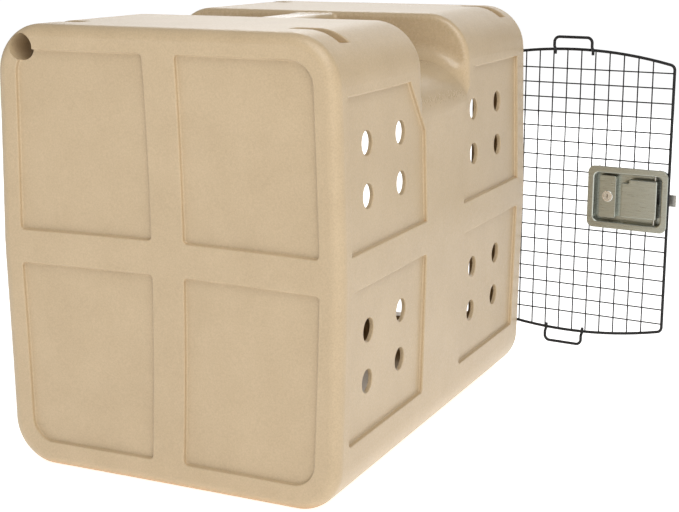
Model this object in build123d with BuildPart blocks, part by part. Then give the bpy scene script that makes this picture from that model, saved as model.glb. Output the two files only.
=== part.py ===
"""Pet transport carrier: a one-piece moulded shell with a wire-mesh door, a paddle latch and two hinges.

Frame: +Z up, the doorway faces -Y, the origin is the centre of the base on the floor.
The door is stored swung fully open, beyond the left edge of the doorway.
"""
from build123d import *
from math import pi
import os

os.makedirs("parts", exist_ok=True)

# ---------------------------------------------------------------- driving dimensions, mm
LENGTH = 775.0
HALF_WIDTH = 275.0           # at the waist of the drafted side walls
WAIST = 330.0                # height of the widest line
DRAFT = 0.03                 # side walls lean in by this much per mm above the waist
LOW_DRAFT = 0.022            # and by this much below it
TOP = 650.0
WALL = 6.0
TOP_ROUND = 72.0
BASE_ROUND = 67.0
END_ROUND = 16.0
REAR_BOW = 15.8              # the rear wall is drawn in by this much at its centre
FRONT = -LENGTH / 2
REAR = LENGTH / 2

# saddle across the roof, between the two humps
SADDLE_REAR = 98.0
SADDLE_FRONT = -94.0
SADDLE_TOP = 579.0
HUMP_ROUND = 9.5
SADDLE_COVE = 25.0           # rounding where the saddle's floor meets its walls

# carrying handle bridging the saddle
HANDLE_WIDTH = 60.0
HANDLE_THICK = 28.0
HANDLE_DROP = 4.0            # handle top below the roof
HANDLE_FLARE = 9.0           # widening on each side where it meets a hump
HANDLE_FLARE_LENGTH = 48.0
HANDLE_SOFT = 6.0

# recessed panels
PANEL_DEPTH = 6.0
RIM_SOFT = 2.0               # rounding of recess rims and floors
FLOOR_SOFT = 2.5
REAR_PANEL_X = (26.0, 240.0)
REAR_PANEL_LOW = (38.0, 307.0)
REAR_PANEL_HIGH = (356.0, 615.0)
SIDE_PANEL_REAR = (87.0, 353.0)
SIDE_PANEL_FRONT = (-340.0, -72.0)
SIDE_PANEL_LOW = (91.0, 307.0)
SIDE_PANEL_HIGH = (357.0, 567.0)
SIDE_CHAMFER = (54.0, 75.0)  # corner cut next to the saddle, along Y and Z
PANEL_CORNER = 6.0
PANEL_OUTER_CORNER = 34.0

# air vents, four in each side panel
VENT_RADIUS = 17.1
VENT_SOFT = 1.2
VENT_Y = (284.0, 168.0, -135.0, -250.0)
VENT_Z = (499.0, 427.0, 240.0, 166.0)

# tie-down slots across the shoulders and the round hole in one rear corner
SLOT_WIDTH = 28.0
SLOT_Y = (308.0, -333.0)
SLOT_INNER_X = 165.0
SLOT_FLOOR = 632.0
SLOT_SOFT = 2.0
CORNER_HOLE_X = 222.0
CORNER_HOLE_Z = 618.0
CORNER_HOLE_RADIUS = 19.0
CORNER_HOLE_END = 300.0

# doorway, edged by a lip that runs into the cabin; the closed door nests inside it
DOOR_MID_Z = 328.8
ARCH = 21.0                  # rise of the arched top and bottom
OPENING_HALF = 182.0
OPENING_SIDE_HALF = 233.5    # half the height of the straight sides
OPENING_CORNER = 12.0
OPENING_SOFT = 5.0
LIP_DEPTH = 29.5

# door: a rod frame filled with welded mesh
DOOR_HALF = 176.0            # to the centre of the frame rod
DOOR_SIDE_HALF = 228.5
DOOR_CORNER = 9.0
DOOR_PLANE = FRONT + 7.5     # centre of the frame rod when closed
ROD = 2.5
WIRE = 1.15
WIRE_SHIFT = 1.2             # upright wires lie in front of the cross wires
PITCH = 25.4
UPRIGHT_WIRES = 12
CROSS_WIRES = 18
LOOP_OUT = 10.3              # stop loops stand this far outside the door's plane
LOOP_RISE = 21.0
LOOP_WIDTH = 68.0
LOOP_CORNER = 9.0
LOOP_FOOT = 8.0

# hinges
HINGE_X = -178.0
HINGE_Y = FRONT - 4.0
HINGE_SPREAD = 155.0         # each hinge above and below the middle of the door
OPEN_ANGLE = 185.4
PIN_RADIUS = 2.5
PIN_CLEARANCE = 0.06
PIN_HEAD = 4.0
EYE_RADIUS = 5.5
EYE_HEIGHT = 22.0
EAR_THICK = 4.0
EAR_GAP = 0.5
LEAF = 3.0
LEAF_X = (-238.0, -193.0)
LEAF_HEIGHT = 54.0
LEAF_SCREW_X = -222.0
LEAF_SCREW_RISE = 19.0

# paddle latch, from the outside face inwards
LATCH_X = (34.0, 176.0)
LATCH_Z = (272.8, 381.0)
LATCH_CORNER = 12.0
SHEET = 1.5
FLANGE_FACE = DOOR_PLANE - 5.0
DISH_MARGIN = 10.0
DISH_DEPTH = 18.0
DISH_MOUTH = 2.5             # rounding of the bowl's rim
DISH_CORNER = 10.0
PLATFORM_X = (54.0, 84.0)
PLATFORM_Z = (291.0, 365.0)
PLATFORM_DROP = 4.0
PADDLE_X = (94.5, 157.5)
PADDLE_Z = (295.0, 361.5)
PADDLE_NOTCH = (13.0, 7.0)
PADDLE_FACE = FLANGE_FACE - 0.5
PADDLE_FOLD = 9.0
PADDLE_SHEET = 2.0
PIVOT_X = 151.5
PIVOT_Y = FLANGE_FACE + 8.5
PIVOT_RADIUS = 2.0
TAIL_HALF_HEIGHT = 7.0
TAIL_THICK = 3.0
LOCK_X = 69.0
LOCK_Z = 328.7
BARREL_RADIUS = 8.0
BEZEL_RADIUS = 9.8
LOCK_NUT_WIDTH = 17.6
PLUG_RADIUS = 5.5
CAM_REACH = 17.5
CAM_THICK = 2.0
BOLT_Z = 328.0
BOLT_HALF_HEIGHT = 10.0
BOLT_X = (98.0, 185.5)
BOLT_FACE = FLANGE_FACE + DISH_DEPTH + 0.6
BOLT_THICK = 5.0
BOLT_BEVEL = 6.0
BOLT_WINDOW = 11.0
COVER_DEPTH = 26.0
GASKET = 1.1
STUD_RADIUS = 2.0
STUD_X = (2 * PITCH, 158.0)    # midway between upright wires on the left
STUD_INSET = 4.0

# strike plate riveted over a notch in the lip of the doorway
STRIKE_Y = (FRONT + 11.5, FRONT + 29.0)
STRIKE_HALF_HEIGHT = 30.0
STRIKE_GAP = 0.8             # round the bolt, in the plate's window
NOTCH_FRONT = BOLT_FACE - 1.6
NOTCH_HALF_HEIGHT = 13.0
RIVET_Y = FRONT + 20.0
RIVET_RISE = 22.0
RIVET_RADIUS = 2.0
RIVET_HEAD_RADIUS = 3.6
RIVET_HEAD = 1.2

SCREW_RADIUS = 2.5
SCREW_HEAD_RADIUS = 4.5
SCREW_HEAD = 2.4
NUT_WIDTH = 8.0
NUT_THICK = 3.5


def save(name, part):
    """Label one finished piece and write it under its own name."""
    part.label = name
    export_step(part, f"parts/{name}.step")


def swing_open(part):
    """Turn a piece of the closed door to its stored, open place."""
    return part.rotate(Axis((HINGE_X, HINGE_Y, 0), (0, 0, 1)), -OPEN_ANGLE)


def station(y):
    """Upright plane across the carrier at one place along it, facing the front."""
    return Plane.XZ.offset(-y)


# ---------------------------------------------------------------- moulded shell
def body_length(inset, top, rear, front, rear_round, front_round):
    """A length of the carrier's body: the drafted cross-section with both ends rounded over."""
    half_low = HALF_WIDTH - LOW_DRAFT * WAIST - inset
    half_top = HALF_WIDTH - DRAFT * (top - WAIST) - inset
    half_mid = HALF_WIDTH - inset
    with BuildPart() as body:
        with BuildSketch(station(rear)) as outline:
            with BuildLine():
                Polyline((half_low, inset), (half_mid, WAIST), (half_top, top - inset),
                         (-half_top, top - inset), (-half_mid, WAIST), (-half_low, inset), close=True)
            make_face()
            rows = outline.vertices().group_by(Axis.Y)
            fillet(rows[1], 700.0)
            fillet(outline.vertices().group_by(Axis.Y)[-1], TOP_ROUND - inset)
            fillet(outline.vertices().group_by(Axis.Y)[0], BASE_ROUND - inset)
        extrude(amount=rear - front)
        if rear_round:
            fillet(body.faces().sort_by(Axis.Y)[-1].edges(), rear_round)
        if front_round:
            fillet(body.faces().sort_by(Axis.Y)[0].edges(), front_round)
    return body.part


def rear_bow(inset):
    """Block behind the rear wall, whose near face is drawn in towards the middle of the wall."""
    reach, spread = 1.1, (HALF_WIDTH, WAIST)
    weights = (1 - reach ** 2, 1 + reach ** 2, 1 - reach ** 2)
    rows = []
    for across, weight_x in zip((-1, 0, 1), weights):
        row = []
        for up, weight_z in zip((-1, 0, 1), weights):
            drawn_in = REAR_BOW * weight_x * weight_z
            corner_x, corner_z = across * reach * spread[0], WAIST + up * reach * spread[1]
            row.append(Vector(corner_x, REAR - inset - drawn_in, corner_z))
        rows.append(row)
    wall = Face.make_bezier_surface(rows)
    return Solid.extrude(wall, Vector(0, 120, 0))


def rear_hump(inset):
    """The rear hump, with its bowed end wall and rounded edges."""
    end_round = END_ROUND - inset
    with BuildPart() as hump:
        add(body_length(inset, TOP, REAR + 5, SADDLE_REAR + inset, 0, HUMP_ROUND - inset))
        add(rear_bow(inset), mode=Mode.SUBTRACT)
        fillet(hump.faces().sort_by(Axis.Y)[-1].edges(), end_round)
    return hump.part


def body_form(inset):
    """The whole body, both humps and the saddle, shrunk by inset all over."""
    with BuildPart() as form:
        add(body_length(inset, SADDLE_TOP, SADDLE_REAR + 60, SADDLE_FRONT - 60, 0, 0))
        add(rear_hump(inset))
        rounds = (HUMP_ROUND - inset, END_ROUND - inset)
        add(body_length(inset, TOP, SADDLE_FRONT - inset, FRONT + inset, *rounds))
    return form.part


def rounded_panel(corners, radii):
    """Sketch a four-sided panel, given anticlockwise from lower left, with a radius at each corner."""
    with BuildSketch(mode=Mode.PRIVATE) as panel:
        with BuildLine():
            Polyline(*corners, close=True)
        make_face()
        for (across, up), radius in zip(corners, radii):
            fillet(panel.vertices().sort_by_distance((across, up, 0))[0], radius)
    return panel.sketch


def rear_panel_edge(up):
    """Outer edge of the rear panels at one height, which follows the draft of the sides."""
    return REAR_PANEL_X[1] - DRAFT * abs(up - WAIST)


def rear_panels(grow):
    """Cutters for the four recessed panels in the rear wall, with floors that follow its bow."""
    inner = REAR_PANEL_X[0] - grow
    small, large = PANEL_CORNER + grow, PANEL_OUTER_CORNER + grow
    with BuildPart() as cutters:
        with BuildSketch(station(REAR + 20)):
            for span, radii in ((REAR_PANEL_LOW, (small, large, small, small)),
                                (REAR_PANEL_HIGH, (small, small, large, small))):
                low, high = span[0] - grow, span[1] + grow
                corners = [(inner, low), (rear_panel_edge(low) + grow, low),
                           (rear_panel_edge(high) + grow, high), (inner, high)]
                add(rounded_panel(corners, radii))
            mirror(about=Plane.YZ)
        extrude(amount=80)
        add(rear_bow(PANEL_DEPTH + grow), mode=Mode.INTERSECT)
    return cutters.part


def side_panels(grow):
    """Cutters for the recessed panels in both side walls, with floors that follow the draft."""
    cut_y, cut_z = SIDE_CHAMFER
    high = SIDE_PANEL_HIGH[1] + grow
    with BuildPart() as cutters:
        with BuildSketch(Plane.YZ):
            for rear_side, (front, rear) in ((1, SIDE_PANEL_REAR), (-1, SIDE_PANEL_FRONT)):
                left, right = front - grow, rear + grow
                low, top = SIDE_PANEL_LOW[0] - grow, SIDE_PANEL_LOW[1] + grow
                corners = [(left, low), (right, low), (right, top), (left, top)]
                add(rounded_panel(corners, (PANEL_CORNER + grow,) * 4))
                near, far = (front - grow, rear + grow) if rear_side > 0 else (rear + grow, front - grow)
                with BuildLine():
                    foot = SIDE_PANEL_HIGH[0] - grow
                    Polyline((near, foot), (far, foot), (far, high), (near + rear_side * cut_y, high),
                             (near, high - cut_z), close=True)
                make_face()
        extrude(amount=HALF_WIDTH + 20, both=True)
        add(body_length(PANEL_DEPTH + grow, TOP, REAR - 1, FRONT + 1, 0, 0), mode=Mode.SUBTRACT)
    return cutters.part


def shoulder_slots(grow):
    """Cutters for the four tie-down slots: flat-floored cuts that break out of the shoulders."""
    reach = HALF_WIDTH + 20 - SLOT_INNER_X + grow
    with BuildPart() as cutters:
        for slot_y in SLOT_Y:
            for side in (-1, 1):
                middle = side * (SLOT_INNER_X - grow + reach / 2)
                with BuildSketch(Plane.XY.offset(SLOT_FLOOR - grow)):
                    with Locations((middle, slot_y)):
                        RectangleRounded(reach, SLOT_WIDTH + 2 * grow, 5 + grow)
                extrude(amount=TOP + 20 - SLOT_FLOOR)
    return cutters.part


def corner_hole(grow):
    """Cutter for the round hole in the rear wall that leads into one tie-down slot."""
    with BuildPart() as cutter:
        with BuildSketch(station(REAR + 20)):
            with Locations((CORNER_HOLE_X, CORNER_HOLE_Z)):
                Circle(CORNER_HOLE_RADIUS + grow)
        extrude(amount=REAR + 20 - CORNER_HOLE_END + grow)
    return cutter.part


def handle_bar():
    """Moulded grip that bridges the saddle, flared where it runs into both humps."""
    rear, front = SADDLE_REAR + 20, SADDLE_FRONT - 20
    half = HANDLE_WIDTH / 2
    wide = half + HANDLE_FLARE
    run = SADDLE_REAR - HANDLE_FLARE_LENGTH
    run_front = SADDLE_FRONT + HANDLE_FLARE_LENGTH
    with BuildPart() as handle:
        with BuildSketch(Plane.XY.offset(TOP - HANDLE_DROP)):
            with BuildLine():
                Polyline((half, run_front), (half, run), (wide, SADDLE_REAR), (wide, rear),
                         (-wide, rear), (-wide, SADDLE_REAR), (-half, run), (-half, run_front),
                         (-wide, SADDLE_FRONT), (-wide, front), (wide, front), (wide, SADDLE_FRONT),
                         close=True)
            make_face()
        extrude(amount=-HANDLE_THICK)
        along = handle.edges().filter_by(GeomType.LINE)
        upright = along.filter_by(Axis.Z).filter_by(lambda e: front + 1 < e.center().Y < rear - 1)
        fillet(upright, 60.0)
        rims = handle.edges().filter_by(lambda e: front + 1 < e.center().Y < rear - 1)
        rims = rims.filter_by(lambda e: abs(e.center().X) > 5 and abs(e.tangent_at(0.5).Z) < 0.1)
        fillet(rims, 9.0)
    return handle.part


def arched_outline(half, side_half, corner, arch=ARCH):
    """Sketch the doorway's outline: straight sides with a shallow arch above and below."""
    low, high = DOOR_MID_Z - side_half, DOOR_MID_Z + side_half
    with BuildSketch(mode=Mode.PRIVATE) as outline:
        with BuildLine():
            Line((half, low), (half, high))
            ThreePointArc((half, high), (0, high + arch), (-half, high))
            Line((-half, high), (-half, low))
            ThreePointArc((-half, low), (0, low - arch), (half, low))
        make_face()
        fillet(outline.vertices(), corner)
    return outline.sketch


def doorway_lip():
    """Block left in the hollow round the doorway, which becomes its lip."""
    with BuildPart() as block:
        with BuildSketch(station(FRONT + LIP_DEPTH)):
            add(arched_outline(OPENING_HALF + WALL, OPENING_SIDE_HALF + WALL, OPENING_CORNER + WALL))
        extrude(amount=LIP_DEPTH + WALL)
    return block.part


def doorway():
    """Cutter for the opening, through the whole depth of the lip."""
    with BuildPart() as cutter:
        with BuildSketch(station(FRONT + LIP_DEPTH + 20)):
            add(arched_outline(OPENING_HALF, OPENING_SIDE_HALF, OPENING_CORNER))
        extrude(amount=LIP_DEPTH + 60)
    return cutter.part


def bolt_notch():
    """Cutter for the notch in the lip that the bolt's tip enters."""
    depth = 40.0
    with BuildPart() as cutter:
        with Locations((OPENING_HALF, NOTCH_FRONT + depth / 2, BOLT_Z)):
            Box(4 * WALL, depth, 2 * NOTCH_HALF_HEIGHT)
    return cutter.part


def vent_holes():
    """Cutters for the round air vents through both side walls."""
    with BuildPart() as cutters:
        with BuildSketch(Plane.YZ):
            for vent_y in VENT_Y:
                for vent_z in VENT_Z:
                    with Locations((vent_y, vent_z)):
                        Circle(VENT_RADIUS)
        extrude(amount=HALF_WIDTH + 20, both=True)
    return cutters.part


# ---------------------------------------------------------------- softened edges of the moulding
def flat_along_y(edge, level):
    """Say whether an edge lies wholly in one upright plane across the carrier."""
    box = edge.bounding_box()
    return abs(box.min.Y - level) < 0.02 and abs(box.max.Y - level) < 0.02


def on_rear_wall(edge, depth):
    """Say whether an edge runs over the bowed rear wall, or over a floor that lies depth in from it."""
    def off_wall(point):
        across, up = point.X / HALF_WIDTH, (point.Z - WAIST) / WAIST
        return point.Y - REAR + depth + REAR_BOW * (1 - across ** 2) * (1 - up ** 2)
    middle = edge.center()
    across = abs(middle.X) < REAR_PANEL_X[1] + 1
    up = REAR_PANEL_LOW[0] - 1 < middle.Z < REAR_PANEL_HIGH[1] + 1
    return across and up and all(abs(off_wall(edge.position_at(t))) < 0.05 for t in (0, 0.5, 1))


def saddle_foot(edge):
    middle = edge.center()
    at_wall = abs(middle.Y - SADDLE_REAR) < 0.05 or abs(middle.Y - SADDLE_FRONT) < 0.05
    return at_wall and SADDLE_TOP - TOP_ROUND < middle.Z < SADDLE_TOP + 1


def rear_panel_rim(edge):
    return on_rear_wall(edge, 0)


def rear_panel_floor(edge):
    return on_rear_wall(edge, PANEL_DEPTH)


def doorway_rim(edge):
    middle = edge.center()
    return flat_along_y(edge, FRONT) and abs(middle.X) < OPENING_HALF + 1 and edge.length > 5


def on_side_wall(edge, depth):
    """Say whether an edge runs along a side wall, or along a panel floor that lies depth below it."""
    def off_wall(point):
        rise = point.Z - WAIST
        lean = DRAFT * rise if rise > 0 else -LOW_DRAFT * rise
        return abs(point.X) - (HALF_WIDTH - lean - depth)
    middle = edge.center()
    along = SIDE_PANEL_FRONT[0] - 5 < middle.Y < SIDE_PANEL_REAR[1] + 5
    up = SIDE_PANEL_LOW[0] - 5 < middle.Z < SIDE_PANEL_HIGH[1] + 5
    return along and up and all(abs(off_wall(edge.position_at(t))) < 0.3 for t in (0, 0.5, 1))


def side_panel_rim(edge):
    return on_side_wall(edge, 0)


def side_panel_floor(edge):
    return on_side_wall(edge, PANEL_DEPTH)


def slot_rim(edge):
    middle = edge.center()
    near_slot = any(abs(middle.Y - slot_y) < SLOT_WIDTH / 2 + 1 for slot_y in SLOT_Y)
    upright = abs(edge.tangent_at(0.5).Z) > 0.95
    return near_slot and abs(middle.X) > SLOT_INNER_X - 8 and middle.Z > SLOT_FLOOR + 0.1 and not upright


def handle_root(edge):
    """Edges where the handle runs into the rounded walls of the saddle."""
    middle = edge.center()
    reach = HANDLE_WIDTH / 2 + HANDLE_FLARE + 1
    over_saddle = SADDLE_FRONT - HUMP_ROUND < middle.Y < SADDLE_REAR + HUMP_ROUND
    at_root = middle.Y > SADDLE_REAR - 1 or middle.Y < SADDLE_FRONT + 1
    above = middle.Z > TOP - HANDLE_DROP - HANDLE_THICK - 1
    return over_saddle and at_root and abs(middle.X) < reach and above


def build_outer():
    """Outer surface of the moulding, with every recess cut in and its edges softened."""
    with BuildPart() as outer:
        add(body_form(0))
        fillet(outer.edges().filter_by(saddle_foot), SADDLE_COVE)
        for recess in (rear_panels(0), side_panels(0), shoulder_slots(0), doorway()):
            add(recess, mode=Mode.SUBTRACT)
        for chosen, radius in ((rear_panel_rim, RIM_SOFT), (rear_panel_floor, FLOOR_SOFT),
                               (side_panel_rim, RIM_SOFT), (side_panel_floor, FLOOR_SOFT),
                               (slot_rim, SLOT_SOFT), (doorway_rim, OPENING_SOFT)):
            fillet(outer.edges().filter_by(chosen), radius)
        add(corner_hole(0), mode=Mode.SUBTRACT)
        add(handle_bar())
        fillet(outer.edges().filter_by(handle_root), HANDLE_SOFT)
    return outer.part


def build_cavity():
    """The hollow inside, which keeps an even wall behind every recess."""
    with BuildPart() as cavity:
        add(body_form(WALL))
        add(rear_panels(WALL), mode=Mode.SUBTRACT)
        add(side_panels(WALL), mode=Mode.SUBTRACT)
        add(shoulder_slots(WALL), mode=Mode.SUBTRACT)
        add(corner_hole(WALL), mode=Mode.SUBTRACT)
        add(doorway_lip(), mode=Mode.SUBTRACT)
    return cavity.part


def build_shell():
    """One-piece moulding, open at the doorway and the vents."""
    with BuildPart() as shell:
        add(build_outer())
        add(build_cavity(), mode=Mode.SUBTRACT)
        add(vent_holes(), mode=Mode.SUBTRACT)
        fillet(shell.edges().filter_by(vent_rim), VENT_SOFT)
        add(bolt_notch(), mode=Mode.SUBTRACT)
    return shell


def vent_rim(edge):
    """Outer rims of the air vents."""
    round_edge = edge.geom_type in (GeomType.CIRCLE, GeomType.ELLIPSE)
    girth = 2 * pi * VENT_RADIUS
    return round_edge and abs(edge.length - girth) < 6 and on_side_wall(edge, PANEL_DEPTH)


# ---------------------------------------------------------------- fasteners
def screw(at, head_plane_y, length, direction, radius=SCREW_RADIUS, head=SCREW_HEAD_RADIUS):
    """Pan-head screw along Y: the head stands on a face and the shank runs in from it."""
    with BuildPart() as body:
        with BuildSketch(station(head_plane_y)):
            with Locations(at):
                Circle(head)
        extrude(amount=SCREW_HEAD * direction)
        crown = body.faces().sort_by(Axis.Y)[0 if direction > 0 else -1]
        fillet(crown.edges(), SCREW_HEAD * 0.6)
        with BuildSketch(station(head_plane_y)):
            with Locations(at):
                Circle(radius)
        extrude(amount=-length * direction)
    return body.part


def group(parts):
    """Several separate, identical fasteners kept as one piece of the assembly."""
    return Compound(children=parts)


def nut(at, seat_y, thickness=NUT_THICK, width=NUT_WIDTH, bore=SCREW_RADIUS):
    """Hexagon nut seated on a face inside the carrier."""
    with BuildPart() as body:
        with BuildSketch(station(seat_y + thickness)):
            with Locations(at):
                RegularPolygon(width / 2, 6, major_radius=False)
                Circle(bore, mode=Mode.SUBTRACT)
        extrude(amount=thickness)
    return body.part


# ---------------------------------------------------------------- hinges
def hinge_levels():
    return (("upper", DOOR_MID_Z + HINGE_SPREAD), ("lower", DOOR_MID_Z - HINGE_SPREAD))


def hinge_leaf(level):
    """Leaf screwed to the front face, with two ears that hold the pin."""
    ear_out = EYE_HEIGHT / 2 + EAR_GAP
    with BuildPart() as leaf:
        with BuildSketch(station(FRONT)):
            with Locations(((LEAF_X[0] + LEAF_X[1]) / 2, level)):
                RectangleRounded(LEAF_X[1] - LEAF_X[0], LEAF_HEIGHT, 7)
            rises = (level - LEAF_SCREW_RISE, level + LEAF_SCREW_RISE)
            with Locations(*[(LEAF_SCREW_X, rise) for rise in rises]):
                Circle(SCREW_RADIUS, mode=Mode.SUBTRACT)
        extrude(amount=LEAF)
        for side in (-1, 1):
            low = level + ear_out if side > 0 else level - ear_out - EAR_THICK
            with BuildSketch(Plane.XY.offset(low)):
                with Locations((HINGE_X, HINGE_Y)):
                    Circle(EYE_RADIUS)
                root = LEAF_X[1] - 8
                with Locations(((root + HINGE_X) / 2, (HINGE_Y - EYE_RADIUS + FRONT) / 2)):
                    Rectangle(HINGE_X - root, FRONT - HINGE_Y + EYE_RADIUS)
                with Locations((HINGE_X, HINGE_Y)):
                    Circle(PIN_RADIUS, mode=Mode.SUBTRACT)
            extrude(amount=EAR_THICK)
    return leaf


def hinge_pin(level):
    """Headed pin through both ears and the door's hinge eye."""
    half = EYE_HEIGHT / 2 + EAR_GAP + EAR_THICK
    with BuildPart() as pin:
        with BuildSketch(Plane.XY.offset(level - half - 2)):
            with Locations((HINGE_X, HINGE_Y)):
                Circle(PIN_RADIUS)
        extrude(amount=2 * half + 2)
        with BuildSketch(Plane.XY.offset(level + half)):
            with Locations((HINGE_X, HINGE_Y)):
                Circle(PIN_HEAD)
        extrude(amount=2.5)
        fillet(pin.faces().sort_by(Axis.Z)[-1].edges(), 1.2)
        chamfer(pin.faces().sort_by(Axis.Z)[0].edges(), 0.6)
    return pin


def hinge_arm(level):
    """Eye and short arm welded to the door's frame rod."""
    with BuildPart() as arm:
        with BuildSketch(Plane.XY.offset(level - EYE_HEIGHT / 2)):
            with Locations((HINGE_X, HINGE_Y)):
                Circle(EYE_RADIUS)
            with Locations((HINGE_X + 1.0, (HINGE_Y + DOOR_PLANE) / 2)):
                Rectangle(5.0, DOOR_PLANE - HINGE_Y)
            with Locations((HINGE_X, HINGE_Y)):
                Circle(PIN_RADIUS + PIN_CLEARANCE, mode=Mode.SUBTRACT)
        extrude(amount=EYE_HEIGHT)
    return arm


# ---------------------------------------------------------------- door frame and mesh
def arch_height(x):
    """Height of the frame rod's centre above the door's middle, at one place across it."""
    radius = (DOOR_HALF ** 2 + ARCH ** 2) / (2 * ARCH)
    return DOOR_SIDE_HALF + ARCH - (radius - (radius ** 2 - x ** 2) ** 0.5)


def rod_along(path, radius):
    """Round rod swept along a wire."""
    with BuildPart() as rod:
        with BuildSketch(Plane(path @ 0, z_dir=path % 0)):
            Circle(radius)
        sweep(path=path)
    return rod.part


def door_frame_rod():
    outline = station(DOOR_PLANE) * arched_outline(DOOR_HALF, DOOR_SIDE_HALF, DOOR_CORNER)
    return rod_along(outline.wire(), ROD)


def latch_clearance():
    """Block that the mesh is cut away by, to let the latch dish through."""
    middle = (sum(LATCH_X) / 2, DOOR_PLANE, sum(LATCH_Z) / 2)
    width = LATCH_X[1] - LATCH_X[0] - 2 * DISH_MARGIN + 2.0
    height = LATCH_Z[1] - LATCH_Z[0] - 2 * DISH_MARGIN + 6.0
    return Pos(*middle) * Box(width, 40, height)


def upright_wires():
    wires = []
    for index in range(UPRIGHT_WIRES):
        x = (index - (UPRIGHT_WIRES - 1) / 2) * PITCH
        reach = arch_height(x)
        centre = Pos(x, DOOR_PLANE - WIRE_SHIFT, DOOR_MID_Z)
        wires += (centre * Cylinder(WIRE, 2 * reach) - latch_clearance()).solids()
    return group(wires)


def cross_wires():
    wires = []
    for index in range(CROSS_WIRES):
        z = DOOR_MID_Z + (index - (CROSS_WIRES - 1) / 2) * PITCH
        centre = Pos(0, DOOR_PLANE + WIRE_SHIFT, z) * Rot(0, 90, 0)
        wires += (centre * Cylinder(WIRE, 2 * DOOR_HALF) - latch_clearance()).solids()
    return group(wires)


def stop_loop(side):
    """Bent rod welded to the frame, above (1) or below (-1); it rests on the front face."""
    half = LOOP_WIDTH / 2
    foot_y = DOOR_PLANE - 2 * ROD + 0.4
    outer_y = DOOR_PLANE - LOOP_OUT
    frame_z = arch_height(half)
    top = DOOR_MID_Z + side * (DOOR_SIDE_HALF + ARCH + LOOP_RISE)
    low = DOOR_MID_Z + side * (frame_z - LOOP_FOOT)
    bend = DOOR_MID_Z + side * frame_z
    kink = DOOR_MID_Z + side * (frame_z + 5.5)
    points = [(-half, foot_y, low), (-half, foot_y, bend), (-half, outer_y, kink), (-half, outer_y, top),
              (half, outer_y, top), (half, outer_y, kink), (half, foot_y, bend), (half, foot_y, low)]
    radii = [3.0, 3.0, LOOP_CORNER, LOOP_CORNER, 3.0, 3.0]
    path = FilletPolyline(*points, radius=radii)
    return rod_along(path.wire(), ROD)


# ---------------------------------------------------------------- paddle latch
def latch_rectangle(x_range, z_range, corner, margin=0.0):
    """Sketch a rounded rectangle over the latch, shrunk by margin."""
    with BuildSketch(mode=Mode.PRIVATE) as outline:
        width = x_range[1] - x_range[0] - 2 * margin
        height = z_range[1] - z_range[0] - 2 * margin
        with Locations((sum(x_range) / 2, sum(z_range) / 2)):
            RectangleRounded(width, height, corner)
    return outline.sketch


def latch_dish():
    """Pressed dish: flange, sunken bowl, raised lock platform and a slot for the paddle's tail."""
    back = FLANGE_FACE + DISH_DEPTH
    with BuildPart() as dish:
        with BuildSketch(station(FLANGE_FACE + SHEET)):
            add(latch_rectangle(LATCH_X, LATCH_Z, LATCH_CORNER))
        extrude(amount=SHEET)
        fillet(dish.faces().sort_by(Axis.Y)[0].edges(), 1.0)
        with BuildSketch(station(back)):
            add(latch_rectangle(LATCH_X, LATCH_Z, DISH_CORNER, DISH_MARGIN))
        extrude(amount=DISH_DEPTH - SHEET / 2)
        fillet(dish.faces().sort_by(Axis.Y)[-1].edges(), 5.0)
        with BuildSketch(station(back - SHEET)):
            add(latch_rectangle(LATCH_X, LATCH_Z, DISH_CORNER - SHEET, DISH_MARGIN + SHEET))
        extrude(amount=DISH_DEPTH, mode=Mode.SUBTRACT)
        mouth = dish.faces().filter_by(Axis.Y).sort_by(Axis.Y)[0].inner_wires()[0]
        fillet(mouth.edges(), DISH_MOUTH)
        with BuildSketch(station(back - SHEET / 2)):
            add(latch_rectangle(PLATFORM_X, PLATFORM_Z, 4.0))
        extrude(amount=DISH_DEPTH - PLATFORM_DROP - SHEET / 2)
        crown = dish.faces().filter_by(lambda f: abs(f.center().Y - FLANGE_FACE - PLATFORM_DROP) < 0.01)
        fillet(crown.edges(), 1.0)
        with BuildSketch(station(back)):
            add(latch_rectangle(PLATFORM_X, PLATFORM_Z, 2.5, SHEET))
        extrude(amount=DISH_DEPTH - PLATFORM_DROP - SHEET, mode=Mode.SUBTRACT)
        with BuildSketch(station(back + 5)):
            with Locations((LOCK_X, LOCK_Z)):
                Circle(BARREL_RADIUS + 0.1)
        extrude(amount=DISH_DEPTH + 10, mode=Mode.SUBTRACT)
        with BuildSketch(station(back + 5)):
            with Locations((PIVOT_X - 4, BOLT_Z)):
                RectangleRounded(20, 2 * TAIL_HALF_HEIGHT + 4, 2)
        extrude(amount=15, mode=Mode.SUBTRACT)
    return dish


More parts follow.
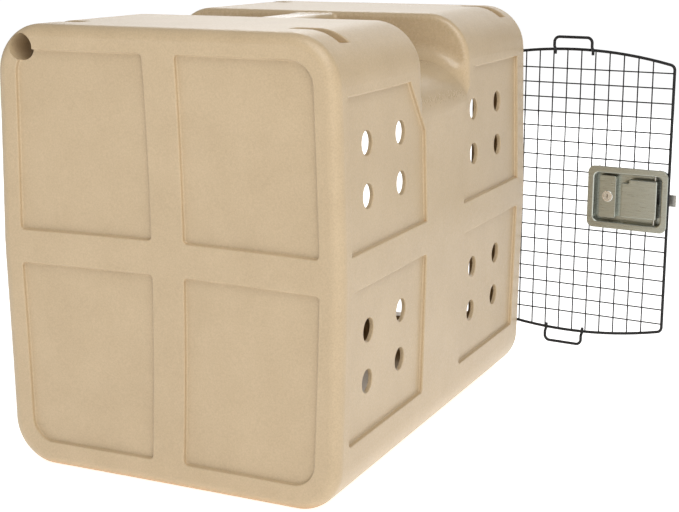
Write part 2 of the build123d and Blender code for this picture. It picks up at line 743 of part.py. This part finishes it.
def paddle():
    """Pull paddle: pressed plate with folded edges, a notched corner, pivot bore and driving tail."""
    left, right = PADDLE_X
    low, high = PADDLE_Z
    notch_x, notch_z = PADDLE_NOTCH
    with BuildPart() as handle:
        with BuildSketch(station(PADDLE_FACE + PADDLE_FOLD)):
            with BuildLine():
                Polyline((left, low), (right, low), (right, high), (left + notch_x, high),
                         (left + notch_x, high - notch_z), (left, high - notch_z), close=True)
            make_face()
            fillet(vertices(), 2.0)
        extrude(amount=PADDLE_FOLD)
        fillet(handle.faces().sort_by(Axis.Y)[0].edges(), 1.6)
        with BuildSketch(station(PADDLE_FACE + PADDLE_FOLD)):
            with BuildLine():
                near, far = left + PADDLE_SHEET, right + 1
                foot, head = low + PADDLE_SHEET, high - PADDLE_SHEET
                step_x, step_z = near + notch_x, head - notch_z
                Polyline((near, foot), (far, foot), (far, head), (step_x, head), (step_x, step_z),
                         (near, step_z), close=True)
            make_face()
        extrude(amount=PADDLE_FOLD - PADDLE_SHEET, mode=Mode.SUBTRACT)
        for level in (low, high - PADDLE_SHEET):
            with BuildSketch(Plane.XY.offset(level)):
                with Locations((PIVOT_X, PIVOT_Y)):
                    Circle(5.0)
            extrude(amount=PADDLE_SHEET)
        tail_end = BOLT_FACE + BOLT_THICK + 0.4
        with BuildSketch(Plane.XY.offset(BOLT_Z - TAIL_HALF_HEIGHT)):
            with Locations((PIVOT_X, PIVOT_Y)):
                Circle(4.5)
            with Locations((PIVOT_X, (PIVOT_Y + tail_end) / 2)):
                Rectangle(TAIL_THICK, tail_end - PIVOT_Y)
            with Locations((PIVOT_X, (PIVOT_Y + PADDLE_FACE) / 2 + 0.5)):
                Rectangle(TAIL_THICK, PIVOT_Y - PADDLE_FACE)
        extrude(amount=2 * TAIL_HALF_HEIGHT)
        with BuildSketch(Plane.XY.offset(low - 5)):
            with Locations((PIVOT_X, PIVOT_Y)):
                Circle(PIVOT_RADIUS + PIN_CLEARANCE)
        extrude(amount=high - low + 10, mode=Mode.SUBTRACT)
    return handle


def paddle_pin():
    """Pivot pin that spans the dish from wall to wall."""
    low, high = LATCH_Z[0] + DISH_MARGIN, LATCH_Z[1] - DISH_MARGIN
    with BuildPart() as pin:
        with BuildSketch(Plane.XY.offset(low + SHEET)):
            with Locations((PIVOT_X, PIVOT_Y)):
                Circle(PIVOT_RADIUS)
        extrude(amount=high - low - 2 * SHEET)
    return pin


def paddle_spring():
    """Torsion spring wound round the pivot pin, above the tail."""
    turns_low = BOLT_Z + TAIL_HALF_HEIGHT + 2.0
    coil = Pos(PIVOT_X, PIVOT_Y, turns_low) * Helix(2.2, 13.2, 3.4)
    return rod_along(Wire([coil]), 0.7)


def bolt():
    """Flat sliding bolt: bevelled at its tip, with a window that the paddle's tail works in."""
    left, tip = BOLT_X
    back = BOLT_FACE + BOLT_THICK
    with BuildPart() as slide:
        with BuildSketch(Plane.XY.offset(BOLT_Z - BOLT_HALF_HEIGHT)):
            with BuildLine():
                Polyline((left, BOLT_FACE), (tip, BOLT_FACE), (tip, BOLT_FACE + 2.0),
                         (tip - BOLT_BEVEL, back), (left, back), close=True)
            make_face()
        extrude(amount=2 * BOLT_HALF_HEIGHT)
        with BuildSketch(station(back + 5)):
            with Locations((PIVOT_X, BOLT_Z)):
                RectangleRounded(BOLT_WINDOW, 2 * TAIL_HALF_HEIGHT + 1.2, 1)
        extrude(amount=20, mode=Mode.SUBTRACT)
    return slide


def bolt_guide():
    """Bridge riveted to the back of the dish that keeps the bolt's tail against it."""
    back = FLANGE_FACE + DISH_DEPTH
    inner = BOLT_FACE + BOLT_THICK + 0.4
    half = BOLT_HALF_HEIGHT + 0.5
    with BuildPart() as guide:
        with BuildSketch(Plane.YZ.offset(108.0)):
            with BuildLine():
                Polyline((back, BOLT_Z - half - 8), (back, BOLT_Z - half), (inner, BOLT_Z - half),
                         (inner, BOLT_Z + half), (back, BOLT_Z + half), (back, BOLT_Z + half + 8),
                         (back + SHEET, BOLT_Z + half + 8), (back + SHEET, BOLT_Z + half + SHEET),
                         (inner + SHEET, BOLT_Z + half + SHEET), (inner + SHEET, BOLT_Z - half - SHEET),
                         (back + SHEET, BOLT_Z - half - SHEET), (back + SHEET, BOLT_Z - half - 8),
                         close=True)
            make_face()
        extrude(amount=18)
    return guide


def latch_gasket():
    """Flat seal between the flange and the mesh."""
    with BuildPart() as seal:
        with BuildSketch(station(FLANGE_FACE + SHEET + GASKET)):
            add(latch_rectangle(LATCH_X, LATCH_Z, LATCH_CORNER - 1, 1.0))
            add(latch_rectangle(LATCH_X, LATCH_Z, DISH_CORNER, DISH_MARGIN), mode=Mode.SUBTRACT)
            with Locations(*stud_places()):
                Circle(STUD_RADIUS + 0.1, mode=Mode.SUBTRACT)
        extrude(amount=GASKET)
    return seal


def stud_places():
    return [(x, z) for x in STUD_X for z in (LATCH_Z[0] + STUD_INSET, LATCH_Z[1] - STUD_INSET)]


def latch_studs():
    """Studs welded behind the flange corners."""
    seat = FLANGE_FACE + SHEET
    length = 14.0
    return group([Pos(x, seat + length / 2, z) * Rot(90, 0, 0) * Cylinder(STUD_RADIUS, length)
                  for x, z in stud_places()])


def latch_cover():
    """Pan over the back of the latch; its lip clamps the mesh against the flange."""
    lip = DOOR_PLANE + WIRE_SHIFT + WIRE + 0.15
    with BuildPart() as cover:
        with BuildSketch(station(lip + SHEET)):
            add(latch_rectangle(LATCH_X, LATCH_Z, LATCH_CORNER, 1.0))
        extrude(amount=SHEET)
        with BuildSketch(station(lip + COVER_DEPTH)):
            add(latch_rectangle(LATCH_X, LATCH_Z, DISH_CORNER, DISH_MARGIN - 2.0))
        extrude(amount=COVER_DEPTH - SHEET / 2)
        fillet(cover.faces().sort_by(Axis.Y)[-1].edges(), 5.0)
        with BuildSketch(station(lip + COVER_DEPTH - SHEET)):
            add(latch_rectangle(LATCH_X, LATCH_Z, DISH_CORNER - SHEET, DISH_MARGIN - 2.0 + SHEET))
        extrude(amount=COVER_DEPTH, mode=Mode.SUBTRACT)
        with BuildSketch(station(lip + 5)):
            with Locations(*stud_places()):
                Circle(STUD_RADIUS + 0.1)
        extrude(amount=10, mode=Mode.SUBTRACT)
        with BuildSketch(Plane.YZ.offset(LATCH_X[1] - 20)):
            with Locations((BOLT_FACE + BOLT_THICK / 2, BOLT_Z)):
                Rectangle(BOLT_THICK + 1.2, 2 * BOLT_HALF_HEIGHT + 1.2)
        extrude(amount=40, mode=Mode.SUBTRACT)
    return cover


def latch_nuts():
    seat = DOOR_PLANE + WIRE_SHIFT + WIRE + 0.15 + SHEET
    return group([nut(place, seat, 3.0, 6.5, STUD_RADIUS) for place in stud_places()])


def lock_barrel():
    """Fixed body of the key lock, with a bezel on the platform."""
    face = FLANGE_FACE + PLATFORM_DROP
    with BuildPart() as barrel:
        with BuildSketch(station(face)):
            with Locations((LOCK_X, LOCK_Z)):
                Circle(BEZEL_RADIUS)
        extrude(amount=1.8)
        fillet(barrel.faces().sort_by(Axis.Y)[0].edges(), 0.9)
        with BuildSketch(station(face + 18)):
            with Locations((LOCK_X, LOCK_Z)):
                Circle(BARREL_RADIUS)
        extrude(amount=18)
        with BuildSketch(station(face + 30)):
            with Locations((LOCK_X, LOCK_Z)):
                Circle(PLUG_RADIUS + PIN_CLEARANCE)
        extrude(amount=60, mode=Mode.SUBTRACT)
    return barrel


def lock_nut():
    """Nut that holds the lock in the platform from behind."""
    seat = FLANGE_FACE + PLATFORM_DROP + SHEET
    return nut((LOCK_X, LOCK_Z), seat, 4.0, LOCK_NUT_WIDTH, BARREL_RADIUS)


def lock_plug():
    """Turning plug with a keyway."""
    face = FLANGE_FACE + PLATFORM_DROP - 1.4
    end = FLANGE_FACE + PLATFORM_DROP + 18.0
    with BuildPart() as plug:
        with BuildSketch(station(end)):
            with Locations((LOCK_X, LOCK_Z)):
                Circle(PLUG_RADIUS)
        extrude(amount=end - face)
        with BuildSketch(station(face + 4)):
            with Locations((LOCK_X, LOCK_Z)):
                SlotOverall(8.0, 1.4, rotation=90)
        extrude(amount=10, mode=Mode.SUBTRACT)
    return plug


def lock_cam():
    """Cam on the back of the plug, pointing down when unlocked."""
    seat = FLANGE_FACE + PLATFORM_DROP + 18.0
    with BuildPart() as cam:
        with BuildSketch(station(seat + CAM_THICK)):
            with Locations((LOCK_X, LOCK_Z)):
                Circle(6.5)
            with Locations((LOCK_X, LOCK_Z - CAM_REACH / 2)):
                Rectangle(9.0, CAM_REACH)
        extrude(amount=CAM_THICK)
    return cam


# ---------------------------------------------------------------- strike
def strike_plate():
    """Stainless plate on the lip, with a window that the bolt's tip enters."""
    half = BOLT_HALF_HEIGHT + STRIKE_GAP
    with BuildPart() as plate:
        with BuildSketch(Plane.YZ.offset(OPENING_HALF - SHEET)):
            with Locations((sum(STRIKE_Y) / 2, BOLT_Z)):
                RectangleRounded(STRIKE_Y[1] - STRIKE_Y[0], 2 * STRIKE_HALF_HEIGHT, 3)
            with Locations((BOLT_FACE + BOLT_THICK / 2, BOLT_Z)):
                Rectangle(BOLT_THICK + 2 * STRIKE_GAP, 2 * half, mode=Mode.SUBTRACT)
            with Locations(*rivet_places()):
                Circle(RIVET_RADIUS, mode=Mode.SUBTRACT)
        extrude(amount=SHEET)
    return plate


def rivet_places():
    return [(RIVET_Y, BOLT_Z - RIVET_RISE), (RIVET_Y, BOLT_Z + RIVET_RISE)]


def disc_across(x_range, at, radius):
    """Round disc or shank that lies across the carrier between two places."""
    low, high = x_range
    return Pos((low + high) / 2, *at) * Rot(0, 90, 0) * Cylinder(radius, high - low)


def strike_rivets():
    """Rivets through the strike plate and the lip."""
    near, far = OPENING_HALF - SHEET, OPENING_HALF + WALL
    rivets = []
    for place in rivet_places():
        shank = disc_across((near, far), place, RIVET_RADIUS)
        near_head = disc_across((near - RIVET_HEAD, near), place, RIVET_HEAD_RADIUS)
        far_head = disc_across((far, far + RIVET_HEAD), place, RIVET_HEAD_RADIUS)
        rivets.append(shank + near_head + far_head)
    return group(rivets)


def leaf_screw_places():
    levels = [level for _, level in hinge_levels()]
    return [(LEAF_SCREW_X, level + side * LEAF_SCREW_RISE) for level in levels for side in (-1, 1)]


def drilled_shell():
    """The shell with the holes that its screws and rivets pass through."""
    shell = build_shell().part
    for x, z in leaf_screw_places():
        shell -= Pos(x, FRONT, z) * Rot(90, 0, 0) * Cylinder(SCREW_RADIUS, 40)
    for place in rivet_places():
        shell -= disc_across((OPENING_HALF - WALL, OPENING_HALF + 2 * WALL), place, RIVET_RADIUS)
    return shell


# ---------------------------------------------------------------- every piece, written out
def write_all():
    save("carrier_shell", drilled_shell())
    for name, level in hinge_levels():
        save(f"hinge_leaf_{name}", hinge_leaf(level).part)
        save(f"hinge_pin_{name}", hinge_pin(level).part)
        save(f"hinge_arm_{name}", swing_open(hinge_arm(level).part))
    seat = FRONT - LEAF
    shank = LEAF + WALL + 6
    save("hinge_screws", group([screw(place, seat, shank, 1) for place in leaf_screw_places()]))
    save("hinge_nuts", group([nut(place, FRONT + WALL) for place in leaf_screw_places()]))
    save("strike_plate", strike_plate().part)
    save("strike_rivets", strike_rivets())
    save("door_frame", swing_open(door_frame_rod()))
    save("upright_wires", swing_open(upright_wires()))
    save("cross_wires", swing_open(cross_wires()))
    save("stop_loop_top", swing_open(stop_loop(1)))
    save("stop_loop_bottom", swing_open(stop_loop(-1)))
    save("latch_dish", swing_open(latch_dish().part))
    save("latch_gasket", swing_open(latch_gasket().part))
    save("latch_studs", swing_open(latch_studs()))
    save("latch_cover", swing_open(latch_cover().part))
    save("latch_nuts", swing_open(latch_nuts()))
    save("paddle", swing_open(paddle().part))
    save("paddle_pin", swing_open(paddle_pin().part))
    save("paddle_spring", swing_open(paddle_spring()))
    save("bolt", swing_open(bolt().part))
    save("bolt_guide", swing_open(bolt_guide().part))
    save("lock_barrel", swing_open(lock_barrel().part))
    save("lock_nut", swing_open(lock_nut()))
    save("lock_plug", swing_open(lock_plug().part))
    save("lock_cam", swing_open(lock_cam().part))


write_all()
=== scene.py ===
"""Looks of the pet transport carrier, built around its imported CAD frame."""

import bpy
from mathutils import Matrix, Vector

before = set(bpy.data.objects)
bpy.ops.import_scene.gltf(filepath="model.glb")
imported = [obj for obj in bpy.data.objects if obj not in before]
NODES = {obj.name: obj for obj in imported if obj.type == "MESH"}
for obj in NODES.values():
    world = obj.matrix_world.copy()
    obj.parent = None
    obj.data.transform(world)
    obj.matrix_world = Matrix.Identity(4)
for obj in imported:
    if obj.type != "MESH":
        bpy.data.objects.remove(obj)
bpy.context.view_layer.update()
COLLECTION = bpy.context.scene.collection

# camera behind the carrier and to its left, at eye height for a seated person; metres, millimetres
CAMERA_PLACE = (-1.0246, 1.9993, 0.7729)
CAMERA_FORWARD = (0.4128, -0.8831, -0.2229)
SENSOR = 36.0
LENS = 74.93
CAMERA_REACH = 100.0

# studio: a white sky that lights only softly, a pale floor, and area lights
SKY_LIGHT = 0.28
SKY_SEEN = 1.0
FLOOR_REACH = 60.0
FLOOR_GREY = 0.93
FLOOR_ROUGHNESS = 0.9
FLOOR_GLOW = 0.78
WHITE = (1.0, 1.0, 1.0)
WARM = (1.0, 0.86, 0.68)
LIGHTS = (
    # name, place, target, size, power in watts, colour
    ("behind", (-1.0, 3.6, 1.4), (0, 0.3, 0.3), (2.4, 1.8), 7, WHITE),
    ("side", (-2.3, 3.0, 1.2), (0, 0.3, 0.3), (1.6, 1.6), 15, WARM),
    ("top", (-1.3, 1.5, 2.9), (0, 0.1, 0.5), (2.2, 2.2), 60, WHITE),
    ("front", (1.0, -3.6, 1.5), (0, 0, 0.6), (4.0, 2.6), 46, WHITE),
    ("gloss", (1.2, -2.4, 2.7), (-0.1, 0, 0.6), (1.2, 0.8), 20, WHITE),
)

# shell colours with the painted shade for its hollows, and the saddle that is rubbed smooth between the
# humps; metres
TAN_DARK = (0.470, 0.358, 0.222)
TAN_LIGHT = (0.500, 0.384, 0.242)
TAN_PAINTED_SHADE = (0.44, 0.25, 0.095)
SADDLE_HALF = (0.105, 0.085)
SADDLE_RISE = (0.50, 0.56)
RUBBED_GLOSS = 0.4           # roughness there, as a share of that elsewhere

# metals: dark and light tone, and lowest and highest roughness
STAINLESS = ((0.36, 0.38, 0.34), (0.47, 0.49, 0.44), (0.24, 0.36))
ZINC = ((0.42, 0.41, 0.38), (0.56, 0.55, 0.51), (0.28, 0.42))
LOCK_PLATING = ((0.70, 0.70, 0.68), (0.80, 0.80, 0.78), (0.2, 0.3))
# painted shade for the gaps and hollows of the metal parts
METAL_PAINTED_SHADE = (0.03, 0.03, 0.026)
BRUSHED = (40.0, 40.0, 2200.0)    # grain per metre along each axis
SPANGLED = (300.0, 300.0, 300.0)
FINE = (500.0, 500.0, 500.0)


# ---------------------------------------------------------------- camera, light and floor
def make_camera():
    camera = bpy.data.objects.new("camera", bpy.data.cameras.new("camera"))
    COLLECTION.objects.link(camera)
    camera.location = CAMERA_PLACE
    camera.rotation_euler = Vector(CAMERA_FORWARD).to_track_quat("-Z", "Y").to_euler()
    camera.data.sensor_width = SENSOR
    camera.data.lens = LENS
    camera.data.clip_end = CAMERA_REACH
    bpy.context.scene.camera = camera


def make_light(name, place, target, size, power, colour):
    """A large area light aimed at a point."""
    data = bpy.data.lights.new(name, "AREA")
    data.shape = "RECTANGLE"
    data.size, data.size_y = size
    data.energy = power
    data.color = colour
    lamp = bpy.data.objects.new(name, data)
    COLLECTION.objects.link(lamp)
    lamp.location = place
    lamp.rotation_euler = (Vector(target) - Vector(place)).to_track_quat("-Z", "Y").to_euler()


def make_sky():
    """White sky that the camera sees brighter than the object is lit by it."""
    world = bpy.data.worlds.new("studio")
    bpy.context.scene.world = world
    world.use_nodes = True
    sky = world.node_tree.nodes["Background"]
    sky.inputs["Color"].default_value = (*WHITE, 1.0)
    seen = world.node_tree.nodes.new("ShaderNodeLightPath").outputs["Is Camera Ray"]
    strength = world.node_tree.nodes.new("ShaderNodeMapRange")
    strength.inputs["To Min"].default_value = SKY_LIGHT
    strength.inputs["To Max"].default_value = SKY_SEEN
    world.node_tree.links.new(seen, strength.inputs["Value"])
    world.node_tree.links.new(strength.outputs["Result"], sky.inputs["Strength"])
    bpy.context.scene.view_settings.view_transform = "Standard"


def make_floor():
    """Plain pale floor that reaches past everything the camera sees."""
    mesh = bpy.data.meshes.new("floor")
    corners = [(-FLOOR_REACH, -FLOOR_REACH, 0), (FLOOR_REACH, -FLOOR_REACH, 0),
               (FLOOR_REACH, FLOOR_REACH, 0), (-FLOOR_REACH, FLOOR_REACH, 0)]
    mesh.from_pydata(corners, [], [(0, 1, 2, 3)])
    floor = bpy.data.objects.new("floor", mesh)
    COLLECTION.objects.link(floor)
    material = bpy.data.materials.new("floor")
    material.use_nodes = True
    shader = material.node_tree.nodes["Principled BSDF"]
    shader.inputs["Base Color"].default_value = (FLOOR_GREY, FLOOR_GREY, FLOOR_GREY, 1.0)
    shader.inputs["Roughness"].default_value = FLOOR_ROUGHNESS
    shader.inputs["Emission Color"].default_value = (*WHITE, 1.0)
    shader.inputs["Emission Strength"].default_value = FLOOR_GLOW
    mesh.materials.append(material)


# ---------------------------------------------------------------- material helpers
class Finish:
    """A node material, with short calls for the nodes that the finishes share."""

    def __init__(self, name):
        self.material = bpy.data.materials.new(name)
        self.material.use_nodes = True
        self.tree = self.material.node_tree
        self.shader = self.tree.nodes["Principled BSDF"]
        self.place = self.tree.nodes.new("ShaderNodeTexCoord").outputs["Object"]

    def node(self, kind, inputs=None, **settings):
        made = self.tree.nodes.new(kind)
        for key, value in settings.items():
            setattr(made, key, value)
        for key, value in (inputs or {}).items():
            socket = made.inputs[key]
            if isinstance(value, bpy.types.NodeSocket):
                self.tree.links.new(value, socket)
            else:
                socket.default_value = value
        return made

    def link(self, source, target):
        self.tree.links.new(source, self.shader.inputs[target])

    def stretched(self, scale):
        """Object coordinates scaled by axis, for brushed or drawn surfaces."""
        return self.node("ShaderNodeMapping", {"Vector": self.place, "Scale": scale}).outputs["Vector"]

    def noise(self, scale, detail=2.0, rough=0.5, place=None):
        made = self.node("ShaderNodeTexNoise", {"Vector": place or self.place, "Scale": scale,
                                                "Detail": detail, "Roughness": rough})
        return made.outputs["Fac"]

    def ramp(self, value, low, high, start=0.3, end=0.7):
        """Map a 0..1 value between start and end onto two colours or greys."""
        made = self.node("ShaderNodeValToRGB", {"Fac": value})
        first, last = made.color_ramp.elements
        first.position, last.position = start, end
        first.color = (*low, 1.0) if isinstance(low, tuple) else (low, low, low, 1.0)
        last.color = (*high, 1.0) if isinstance(high, tuple) else (high, high, high, 1.0)
        return made.outputs["Color"]

    def paint_shade(self, colour, deep, distance, start, end=0.6):
        """Paint shade into a colour: turn it towards a deeper one in corners, gaps and hollows, where
        ambient occlusion finds them.
        """
        hollow = self.node("ShaderNodeAmbientOcclusion", {"Distance": distance}, samples=8)
        amount = self.mapped(hollow.outputs["AO"], start, end, 0.0, 1.0)
        return self.mix(amount, (*deep, 1.0), colour)

    def mix(self, amount, first, second, blend_type="MIX"):
        """Mix two colours; a colour mix node keeps its colours in sockets 6 and 7."""
        inputs = {0: amount, 6: first, 7: second}
        return self.node("ShaderNodeMix", inputs, data_type="RGBA", blend_type=blend_type).outputs[2]

    def mapped(self, value, start, end, low, high):
        inputs = {"Value": value, "From Min": start, "From Max": end, "To Min": low, "To Max": high}
        return self.node("ShaderNodeMapRange", inputs).outputs["Result"]

    def math(self, operation, first, second=0.0):
        return self.node("ShaderNodeMath", {0: first, 1: second}, operation=operation).outputs[0]

    def bump(self, height, strength, distance, below=None):
        inputs = {"Height": height, "Strength": strength, "Distance": distance}
        if below is not None:
            inputs["Normal"] = below
        return self.node("ShaderNodeBump", inputs).outputs["Normal"]


def saddle_share(finish):
    """1 in the saddle between the humps, 0 elsewhere on the shell."""
    place = finish.node("ShaderNodeSeparateXYZ", {"Vector": finish.place}).outputs
    between = finish.mapped(finish.math("ABSOLUTE", place["Y"]), *SADDLE_HALF, 0.0, 1.0)
    return finish.math("MULTIPLY", between, finish.mapped(place["Z"], *SADDLE_RISE, 0.0, 1.0))


def shell_plastic():
    """Sand-coloured rotomoulded plastic: fine mould grain, faint mottling, satin gloss."""
    finish = Finish("shell_plastic")
    mottle = finish.ramp(finish.noise(14.0, 6.0, 0.6), TAN_DARK, TAN_LIGHT, 0.35, 0.65)
    speck = finish.ramp(finish.noise(420.0, 2.0, 0.7), 0.93, 1.05, 0.35, 0.65)
    grained = finish.mix(1.0, mottle, speck, "MULTIPLY")
    # painted shade: the tan turns deeper and more saturated in corners, recesses and vents by ambient
    # occlusion
    finish.link(finish.paint_shade(grained, TAN_PAINTED_SHADE, 0.03, 0.05), "Base Color")
    satin = finish.ramp(finish.noise(220.0, 3.0, 0.6), 0.34, 0.46)
    worn = finish.mapped(saddle_share(finish), 0.0, 1.0, 1.0, RUBBED_GLOSS)
    finish.link(finish.math("MULTIPLY", satin, worn), "Roughness")
    swell = finish.bump(finish.noise(9.0), 0.35, 0.004)
    pebble = finish.bump(finish.noise(330.0, 2.0, 0.6), 0.3, 0.0008, swell)
    grain = finish.bump(finish.noise(900.0, 3.0, 0.6), 0.35, 0.0004, pebble)
    finish.link(grain, "Normal")
    finish.shader.inputs["Specular IOR Level"].default_value = 0.5
    return finish.material


def black_coat():
    """Black powder coat with a faint orange-peel texture."""
    finish = Finish("black_coated_steel")
    tone = finish.noise(60.0, 3.0)
    finish.link(finish.ramp(tone, (0.006, 0.006, 0.007), (0.013, 0.013, 0.014)), "Base Color")
    finish.link(finish.ramp(finish.noise(400.0), 0.42, 0.56), "Roughness")
    finish.link(finish.bump(finish.noise(1300.0), 0.4, 0.00012), "Normal")
    finish.shader.inputs["Specular IOR Level"].default_value = 0.28
    return finish.material


def brushed_metal(name, tones, grain):
    """Metal with fine brushing lines, slow changes of tone and painted shade in its gaps."""
    dark, light, rough = tones
    finish = Finish(name)
    lines = finish.noise(1.0, 4.0, 0.6, finish.stretched(grain))
    # painted shade: near-black in gaps and hollows by ambient occlusion
    finish.link(finish.paint_shade(finish.ramp(lines, dark, light), METAL_PAINTED_SHADE, 0.010, 0.12), "Base Color")
    finish.link(finish.ramp(lines, *rough), "Roughness")
    finish.link(finish.bump(lines, 0.25, 0.00004), "Normal")
    finish.shader.inputs["Metallic"].default_value = 1.0
    finish.shader.inputs["Anisotropic"].default_value = 0.5
    return finish.material


def seal_rubber():
    """Matt black rubber."""
    finish = Finish("seal_rubber")
    tone = finish.noise(90.0, 3.0, 0.6)
    finish.link(finish.ramp(tone, (0.018, 0.018, 0.018), (0.035, 0.035, 0.034)), "Base Color")
    finish.link(finish.ramp(tone, 0.6, 0.75), "Roughness")
    finish.link(finish.bump(finish.noise(900.0), 0.4, 0.0002), "Normal")
    return finish.material


def dress_nodes():
    """Give every carried-over CAD node its finish."""
    finishes = {"shell_plastic": shell_plastic(), "black_coated_steel": black_coat(),
                "brushed_stainless": brushed_metal("brushed_stainless", STAINLESS, BRUSHED),
                "zinc_steel": brushed_metal("zinc_steel", ZINC, SPANGLED),
                "lock_metal": brushed_metal("lock_metal", LOCK_PLATING, FINE),
                "seal_rubber": seal_rubber()}
    for node in NODES.values():
        for index, old in enumerate(node.data.materials):
            node.data.materials[index] = finishes[old.name.split(".")[0]]


make_camera()
make_sky()
make_floor()
for light in LIGHTS:
    make_light(*light)
dress_nodes()
